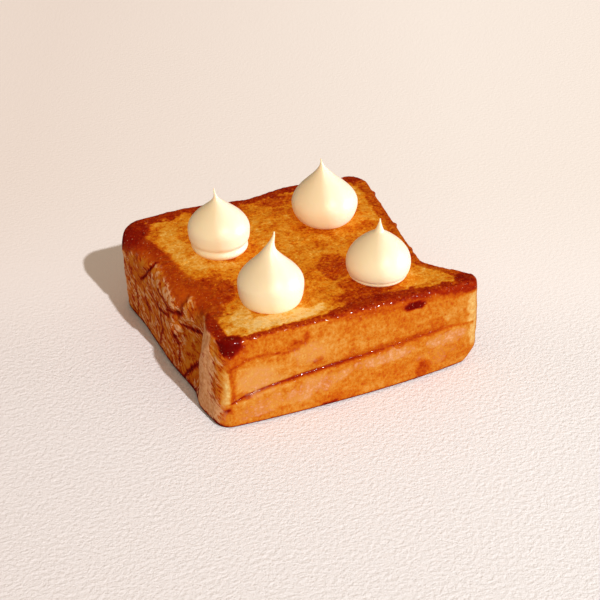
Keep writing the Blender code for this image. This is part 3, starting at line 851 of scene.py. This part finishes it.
def fine_relief(surface, fields):
    """How far each point stands out from the plain form. Also clears the left crust's cracks of dust and
    painted sheen.
    """
    points, crumb = surface.points, fields["crumb"]
    x, y, z = points.T
    clear = off_the_seats(x, y) * (surface.height > 0) + (surface.height == 0)
    footing = smooth(0.2, 3, surface.height)
    down = THICKNESS - surface.height

    # Grainy crumb with pits.
    pits = smooth(0.35, 0.8, grain(points, 2.6, 6)) + 0.6 * smooth(0.3, 0.8, grain(points, 1.5, 7))
    grainy = 0.12 * grain(points, 1.3, 8) + 0.14 * grain(points, 3, 9)
    crumb_height = (grainy - 0.34 * pits) * clear

    # Crackled crust: streaky cells on the left, finer and shallower elsewhere, and none on the shoulder.
    along = -y * math.cos(STROKE_CLIMB) + z * math.sin(STROKE_CLIMB)
    across = y * math.sin(STROKE_CLIMB) + z * math.cos(STROKE_CLIMB)
    warped = np.stack([along * 0.36, across, x * 0.5], -1) + 0.8 * np.stack(
        [grain(points, 5, seed) for seed in (20, 21, 22)], -1
    )
    crackle = cracks(warped, 2.6, 1)
    leftness, rightness, backness = (facing(surface.outward, side) for side in (LEFT, RIGHT, BACK))
    lobe = smooth(-30, -36, y)
    crackled = fields["streak"] * (1 - 0.6 * lobe)
    crackled += (0.5 * rightness + 0.4 * backness) * smooth(3, 8, down)
    crust_height = 0.35 * crackled * (smooth(0, 0.5, crackle) - 0.6)
    crust_height += 0.11 * grain(points, 3.5, 12) + 0.06 * grain(points, 1.5, 13)
    fields["dust_and_sheen"] = fields["dust_and_sheen"] * (1 - 0.9 * leftness * (1 - lobe) * (1 - smooth(0.05, 0.3, crackle)))

    # The caramelled rim is lumpier where it is burnt, and its right edge is torn.
    rim = bell(down, 0, 3) * (np.abs(surface.outward).sum(1) > 0)
    burnt = 0.4 + 0.6 * smooth(-20, 5, x)
    crust_height += 0.26 * rim * burnt * grain(points, 2.4, 14)
    for middle, reach, width in TEARS:
        crust_height += reach * rim * rightness * bell(y, middle, width)
    return crumb * crumb_height + (1 - crumb) * crust_height * footing


# --- Cream ---
def dollop_radius(dollop, height):
    """Radius of a piped dollop at a height: a round belly that runs up into a thin, hollow-sided peak."""
    if height < dollop.belly_height:
        short = 1 - max(height, 0) / dollop.belly_height
        roundness = (1 - short**DOLLOP_ROUNDNESS) ** (1 / DOLLOP_ROUNDNESS)
        return dollop.foot + (dollop.belly - dollop.foot) * roundness
    climb = (height - dollop.belly_height) / (dollop.height - dollop.belly_height)
    dome = max(1 - (climb / dollop.dome_closes) ** 2, 0) ** dollop.dome_power
    peak = max(math.cos(math.pi / 2 * climb), 0) ** (2 * dollop.peak_power)
    radius = dollop.belly * ((1 - dollop.peak_share) * dome + dollop.peak_share * peak)
    nib = NIB * math.sqrt(max(1 - max(1 - (dollop.height - height) / NIB, 0) ** 2, 0))
    return math.hypot(radius, nib)


def skirt_relief(skirt, angle, height):
    """How far a dollop stands out round its skirt: a ring about its foot, and the groove over that."""
    groove_height, depth, side = skirt
    fading = (0.5 + 0.5 * np.cos(angle - math.radians(side))) ** 0.7
    groove = bell(height, groove_height, 0.28 * groove_height)
    ring = bell(height, 0.5 * groove_height, 0.4 * groove_height)
    return depth * fading * (0.6 * ring - groove)


def make_dollop(node, dollop, material):
    """One dollop: rings of points up its profile, a little uneven and leaning, with a point at each end."""
    share = np.arange(DOLLOP_ROWS) / DOLLOP_ROWS
    nib = dollop.height - NIB * np.array((0.6, 0.3, 0.1))
    heights = np.concatenate([[-CREAM_SINKS], dollop.height * share**1.05, nib])
    radii = np.array([dollop_radius(dollop, height) for height in heights])
    angles = 2 * math.pi * np.arange(DOLLOP_STEPS) / DOLLOP_STEPS
    height = np.repeat(heights, DOLLOP_STEPS)
    radius = np.repeat(radii, DOLLOP_STEPS)
    angle = np.tile(angles, len(heights))
    ring = np.stack([radius * np.cos(angle), radius * np.sin(angle), height], -1)
    shift = Vector((*dollop.place, 0))
    unevenness = np.array([noise.noise(Vector(point) / 14 + shift) for point in ring])
    relief = radius * DOLLOP_UNEVENNESS * unevenness
    if dollop.skirt:
        relief += skirt_relief(dollop.skirt, angle, height)
    ring[:, :2] *= (1 + relief / radius)[:, None]
    ends = np.array(((0, 0, -CREAM_SINKS), (0, 0, dollop.height)))
    points = np.concatenate([ring, ends])
    up = np.clip(points[:, 2] / dollop.height, 0, 1)
    points[:, 0] += dollop.lean * up**2 + dollop.hook * smooth(HOOK_FROM, 1, up)
    points += (*(np.array(dollop.place) - BOX_MIDDLE), THICKNESS)

    ids = np.arange(len(ring)).reshape(len(heights), DOLLOP_STEPS)
    bottom, tip = len(ring), len(ring) + 1
    faces = quads(ringed(ids)).tolist() + fan(ids[0][::-1], bottom) + fan(ids[-1], tip)
    mesh = bpy.data.meshes.new("dollop")
    mesh.from_pydata((points * MM).tolist(), [], faces)
    mesh.materials.append(material)
    mesh.shade_smooth()
    mesh.update()
    return as_piece(node.replace("cream", "dollop"), mesh, node)


def in_scene(name, data):
    """A new object with its mesh, lens or light, linked into the scene."""
    made = bpy.data.objects.new(name, data)
    bpy.context.scene.collection.objects.link(made)
    return made


def as_piece(name, mesh, node):
    """The mesh as an object under the root, standing for a CAD node, which it hides."""
    piece = in_scene(name, mesh)
    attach(piece, "root")
    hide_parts(node)
    return piece


# --- Materials ---
def colour(red, green, blue):
    """A colour given as screen values from 0 to 255, as the linear colour that shaders take."""
    return tuple((value / 255 / 12.92) if value < 10.4 else ((value / 255 + 0.055) / 1.055) ** 2.4
                 for value in (red, green, blue)) + (1,)


# From tone to screen colour, on the crust and on the crumb.
CRUST_RAMP = (
    (0.0, 226, 194, 122),
    (0.2, 212, 158, 84),
    (0.4, 203, 130, 46),
    (0.52, 195, 110, 22),
    (0.65, 184, 80, 8),
    (0.8, 154, 38, 4),
    (0.92, 126, 12, 2),
    (1.0, 98, 4, 1),
)
CRUMB_RAMP = (
    (0.0, 227, 186, 114),
    (0.15, 222, 166, 74),
    (0.3, 213, 144, 43),
    (0.45, 205, 121, 16),
    (0.6, 188, 88, 8),
    (0.75, 158, 50, 4),
    (0.88, 134, 24, 3),
    (1.0, 108, 10, 2),
)
# The pale film's colours; on the left crust they are also painted sheen, on the front painted highlights.
DUST_AND_SHEEN_PALE = colour(228, 178, 130)
DUST_AND_SHEEN_DEEP = colour(200, 138, 88)
# The colour of the painted glints on the wet glaze.
PAINTED_GLINT = colour(232, 170, 120)
CREAM_COLOUR = colour(245, 230, 196)
CREAM_PALE = colour(247, 233, 202)
# Painted light on the floor: it runs from the dim colour to the lit one, as if lit more on one side.
FLOOR_PAINTED_DIM = colour(241, 235, 232)
FLOOR_PAINTED_LIT = colour(255, 254, 253)
FLOOR_BACK = colour(248, 243, 236)
FLOOR_FLECKS = colour(150, 138, 128)
# The directions in which the floor's painted light and its roughness change, and how many metres the painted
# light takes.
PAINTED_LIGHT_RUNS = (0.91, -0.41, 0)
ROUGHNESS_RUNS = (0.41, 0.91, 0)
PAINTED_LIGHT_WIDTH = 0.24


class Nodes:
    """Short ways to add nodes to a tree. An input is a value or another node's output."""

    def __init__(self, tree, shader):
        self.tree, self.shader = tree, tree.nodes[shader]

    def feed(self, node, inputs):
        for key, value in inputs.items():
            if isinstance(value, bpy.types.NodeSocket):
                self.tree.links.new(value, node.inputs[key])
            else:
                node.inputs[key].default_value = value

    def add(self, kind, inputs=None, **settings):
        made = self.tree.nodes.new("ShaderNode" + kind)
        for key, value in settings.items():
            setattr(made, key, value)
        self.feed(made, inputs or {})
        return made.outputs

    def math(self, operation, *values, clamp=False):
        return self.add("Math", dict(enumerate(values)), operation=operation, use_clamp=clamp)[0]

    def plus(self, first, second, clamp=False):
        return self.math("ADD", first, second, clamp=clamp)

    def times(self, first, second):
        return self.math("MULTIPLY", first, second)

    def scaled(self, value, gain, offset, clamp=False):
        return self.math("MULTIPLY_ADD", value, gain, offset, clamp=clamp)

    def centred(self, value, gain):
        """A noise's swing about its middle, times a gain."""
        return self.times(self.math("SUBTRACT", value, 0.5), gain)

    def step(self, value, low, high):
        """0 where the value is under low, 1 over high; low may be the larger."""
        inputs = {"Value": value, "From Min": low, "From Max": high}
        return self.add("MapRange", inputs, interpolation_type="SMOOTHSTEP")[0]

    def blend(self, factor, first, second):
        return self.add("Mix", {0: factor, 2: first, 3: second})[0]

    def mix(self, factor, first, second, blend="MIX"):
        return self.add("Mix", {0: factor, 6: first, 7: second}, data_type="RGBA", blend_type=blend)[2]

    def ramp(self, factor, stops):
        outputs = self.add("ValToRGB", {"Fac": factor})
        elements = outputs[0].node.color_ramp.elements
        for stop in stops[1:-1]:
            elements.new(stop[0])
        for element, stop in zip(elements, stops):
            element.color = colour(*stop[1:])
        return outputs["Color"]

    def place(self):
        return self.add("TexCoord")["Object"]

    def along(self, axis):
        """How far each point lies along an axis."""
        return self.add("VectorMath", {0: self.place(), 1: axis}, operation="DOT_PRODUCT")["Value"]

    def noise(self, size, detail=3, roughness=0.55, **others):
        """Noise from 0 to 1 with lumps of about that size in millimetres."""
        inputs = {"Vector": self.place(), "Scale": 1 / (size * MM), "Detail": detail, "Roughness": roughness}
        return self.add("TexNoise", {**inputs, **others})["Fac"]

    def bump(self, height, strength, depth):
        return self.add("Bump", {"Height": height, "Strength": strength, "Distance": depth * MM})["Normal"]


def new_material(name):
    made = bpy.data.materials.new(name)
    made.use_nodes = True
    return made, Nodes(made.node_tree, "Principled BSDF")


def streaks_noise(nodes):
    """Noise drawn out into strokes that fall towards the front: broad ones, and fine ones within them."""
    level, climb = math.cos(STROKE_CLIMB), math.sin(STROKE_CLIMB)
    layers = []
    for size, stretch in ((2.0, 0.34), (0.95, 0.2)):
        axes = ((0, -stretch * level, stretch * climb), (0, climb, level), (0.5, 0, 0))
        drawn_out = nodes.add("CombineXYZ", dict(enumerate(map(nodes.along, axes))))[0]
        layers.append(nodes.noise(size, detail=2, roughness=0.6, Vector=drawn_out, Distortion=0.5))
    return nodes.scaled(layers[1], 0.6, nodes.times(layers[0], 0.4))


def toast_material():
    made, nodes = new_material("glazed_toast")
    fields = ("tone", "crumb", "gloss", "dust_and_sheen", "streak")
    tone, crumb, gloss, dust_and_sheen, streak = (nodes.add("Attribute", attribute_name=name)["Fac"] for name in fields)
    speckle = nodes.noise(1.5, detail=4, roughness=0.65)
    blotch = nodes.noise(4.5)
    dots = nodes.noise(0.8, detail=2)
    streaks = streaks_noise(nodes)

    # The fine mottling: strong on the crumb and the front, faint among the left crust's strokes.
    swing = nodes.scaled(streak, -0.4, nodes.scaled(crumb, 0.1, 0.8))
    clouds = nodes.centred(blotch, nodes.scaled(crumb, 0.3, 0.3))
    matt = nodes.scaled(gloss, -0.75, 1.0)
    tone = nodes.scaled(nodes.plus(nodes.centred(speckle, swing), clouds), matt, tone)
    plain = nodes.times(nodes.math("SUBTRACT", 1.0, streak), matt)
    burnt_dots = nodes.times(nodes.step(dots, 0.62, 0.70), nodes.scaled(crumb, 0.14, 0.12))
    tone = nodes.plus(tone, nodes.times(burnt_dots, plain))
    # Painted glints: pale specks on the crumb.
    painted_glint_dots = nodes.times(nodes.step(dots, 0.38, 0.30), -0.22)
    tone = nodes.plus(tone, nodes.times(painted_glint_dots, crumb))
    grooves = nodes.times(nodes.step(streaks, 0.48, 0.42), 0.22)
    tone = nodes.plus(tone, nodes.times(grooves, streak), clamp=True)
    base = nodes.mix(crumb, nodes.ramp(tone, CRUST_RAMP), nodes.ramp(tone, CRUMB_RAMP))

    # Dust and its painted sheen cover more of the crust, rather than more densely, where there is more of
    # them.
    mottled = nodes.scaled(blotch, 0.4, nodes.times(speckle, 0.6))
    spread = nodes.scaled(dust_and_sheen, 0.28, nodes.blend(streak, mottled, streaks))
    dust_and_sheen_cover = nodes.blend(streak, nodes.step(spread, 0.50, 0.86), nodes.step(spread, 0.63, 0.74))
    dust_and_sheen_cover = nodes.times(nodes.times(dust_and_sheen_cover, nodes.step(dust_and_sheen, 0.02, 0.3)), 0.8)
    base = nodes.mix(dust_and_sheen_cover, base, nodes.mix(nodes.step(speckle, 0.35, 0.65), DUST_AND_SHEEN_DEEP, DUST_AND_SHEEN_PALE))
    # Painted glints: pale specks on the wet glaze, in place of the sun's sparkles.
    painted_glints = nodes.step(nodes.noise(0.9, detail=1), 0.70, 0.76)
    base = nodes.mix(nodes.times(painted_glints, nodes.times(gloss, 0.75)), base, PAINTED_GLINT)

    # The glaze beads: it mirrors only on its own soft swells, so that highlights stay few and crisp.
    beads = nodes.noise(2.6, detail=1)
    drops = nodes.noise(1.4, detail=0)
    pooled = nodes.step(nodes.scaled(gloss, 0.4, beads), 0.84, 0.94)
    pooled = nodes.math("MAXIMUM", pooled, nodes.step(drops, 0.52, 0.60))
    height = nodes.plus(nodes.scaled(dots, 0.5, speckle), nodes.times(streaks, streak))
    nodes.feed(nodes.shader, {
        "Base Color": base,
        "Roughness": nodes.scaled(gloss, -0.25, 0.65),
        "Specular IOR Level": 0.015,
        "Normal": nodes.bump(height, 0.6, 0.5),
        "Coat Weight": nodes.times(pooled, gloss),
        "Coat Roughness": 0.12,
        "Coat Normal": nodes.bump(nodes.scaled(drops, 0.4, beads), 0.8, 0.5),
    })
    return made


def cream_material():
    made, nodes = new_material("cream_satin")
    nodes.feed(nodes.shader, {
        "Base Color": nodes.mix(nodes.noise(9, detail=2), CREAM_COLOUR, CREAM_PALE),
        "Roughness": 0.4,
        "Subsurface Weight": 0.15,
        "Subsurface Radius": (1.0, 0.6, 0.3),
        "Subsurface Scale": 1.5 * MM,
        "Normal": nodes.bump(nodes.noise(5, detail=2), 0.15, 0.3),
    })
    return made


def floor_material():
    made, nodes = new_material("pale_plaster")
    # Painted light: the plaster pales across the floor, from the dim colour to the lit one.
    share = nodes.scaled(nodes.along(PAINTED_LIGHT_RUNS), 1 / PAINTED_LIGHT_WIDTH, 0.62, clamp=True)
    # The plaster is rougher, paler and flecked with grey in front of the toast.
    away = nodes.along(ROUGHNESS_RUNS)
    tint = nodes.mix(share, FLOOR_PAINTED_DIM, FLOOR_PAINTED_LIT)
    tint = nodes.mix(nodes.step(away, -0.1, 0.16), tint, FLOOR_BACK, "MULTIPLY")
    rough = nodes.step(away, 0.05, -0.04)
    flecks = nodes.times(nodes.step(nodes.noise(1.0, detail=1), 0.68, 0.76), nodes.times(rough, 0.3))
    pores = nodes.noise(1.8, detail=5, roughness=0.65)
    nodes.feed(nodes.shader, {
        "Base Color": nodes.mix(flecks, tint, FLOOR_FLECKS),
        "Roughness": 0.8,
        "Specular IOR Level": 0.2,
        "Normal": nodes.bump(nodes.times(pores, nodes.scaled(rough, 0.8, 0.3)), 0.7, 1.4),
    })
    return made


# --- Camera, light and floor: angles are in degrees, and places in metres ---
CAMERA_AZIMUTH = -24.386
CAMERA_ELEVATION = 32.0
CAMERA_DISTANCE = 0.72925
CAMERA_TARGET = Vector((0.01165, 0.02119, 0))
CAMERA_LENS = 96
FLOOR_HALF = 3.0

SUN_AZIMUTH = 10.5
SUN_ELEVATION = 39.8
SUN_STRENGTH = 2.95
SUN_WIDTH = 1.5
SUN_COLOUR = (0.94, 0.95, 1)
GLINT_STRENGTH = 1.6
GLINT_WIDTH = 3
SKY_STRENGTH = 0.48
SKY_COLOUR = (1, 0.80, 0.62, 1)
# Of the pale room, what glossy surfaces mirror.
ROOM_MIRRORED = 0.012
# Lights on the dollops alone: name, azimuth, elevation, strength, colour and width.
CREAM_LIGHTS = (
    ("key", 66, 10, 3.5, (0.88, 0.78, 1), 1),
    ("front_fill", -6, 30, 1.8, (1, 0.76, 0.50), 20),
    ("low_fill", 12, 2, 0.95, (0.40, 0.80, 1), 20),
)


def aim(thing, azimuth, elevation):
    """Turns a camera or a light to look back from a direction, where azimuth 0 is -Y and turns towards +X."""
    azimuth, elevation = math.radians(azimuth), math.radians(elevation)
    level = math.cos(elevation)
    direction = Vector((math.sin(azimuth) * level, -math.cos(azimuth) * level, math.sin(elevation)))
    thing.rotation_euler = direction.to_track_quat("Z", "Y").to_euler()
    return direction


def make_camera():
    data = bpy.data.cameras.new("camera")
    data.lens = CAMERA_LENS
    camera = in_scene("camera", data)
    direction = aim(camera, CAMERA_AZIMUTH, CAMERA_ELEVATION)
    camera.location = CAMERA_TARGET + direction * CAMERA_DISTANCE
    bpy.context.scene.camera = camera


def make_sun(name, azimuth, elevation, strength, tint, width):
    data = bpy.data.lights.new(name, "SUN")
    data.energy = strength
    data.color = tint
    data.angle = math.radians(width)
    light = in_scene(name, data)
    aim(light, azimuth, elevation)
    return light


def make_world():
    world = bpy.data.worlds.new("pale_room")
    world.use_nodes = True
    nodes = Nodes(world.node_tree, "Background")
    nodes.feed(nodes.shader, {"Color": SKY_COLOUR, "Strength": SKY_STRENGTH})
    mirrored = nodes.add("Background", {"Color": SKY_COLOUR, "Strength": ROOM_MIRRORED})[0]
    glossy = nodes.add("LightPath")["Is Glossy Ray"]
    mixed = nodes.add("MixShader", {0: glossy, 1: nodes.shader.outputs[0], 2: mirrored})[0]
    nodes.feed(nodes.tree.nodes["World Output"], {"Surface": mixed})
    bpy.context.scene.world = world


def make_floor():
    corners = [(x * FLOOR_HALF, y * FLOOR_HALF, 0) for x, y in ((-1, -1), (1, -1), (1, 1), (-1, 1))]
    mesh = bpy.data.meshes.new("floor")
    mesh.from_pydata(corners, [], [(0, 1, 2, 3)])
    mesh.materials.append(floor_material())
    floor = in_scene("floor", mesh)
    floor.visible_glossy = False
    return floor


def collection_of(name, members):
    made = bpy.data.collections.new(name)
    for member in members:
        made.objects.link(member)
    return made


make_camera()
make_world()
floor = make_floor()
bread = make_toast()
cream = cream_material()
dollops = [make_dollop(node, dollop, cream) for node, dollop in DOLLOPS.items()]
for dollop in dollops:
    dollop.visible_glossy = False

sun = make_sun("sun", SUN_AZIMUTH, SUN_ELEVATION, SUN_STRENGTH, SUN_COLOUR, SUN_WIDTH)
# The sun's highlight on the dollops, which it doesn't light otherwise.
glint = make_sun("glint", SUN_AZIMUTH, SUN_ELEVATION, GLINT_STRENGTH, SUN_COLOUR, GLINT_WIDTH)
glint.visible_diffuse = False
on_dollops = collection_of("on_dollops", dollops)
sun.light_linking.receiver_collection = collection_of("sunlit", [floor, bread])
sun.light_linking.blocker_collection = collection_of("shading", [bread])
glint.light_linking.receiver_collection = on_dollops
# The floor lies under these lights, so that it holds none of them back.
unshaded = collection_of("unshaded", [floor])
for cream_light in CREAM_LIGHTS:
    light = make_sun(*cream_light)
    light.light_linking.receiver_collection = on_dollops
    light.light_linking.blocker_collection = unshaded

view = bpy.context.scene.view_settings
view.view_transform = "Standard"
view.look = "None"
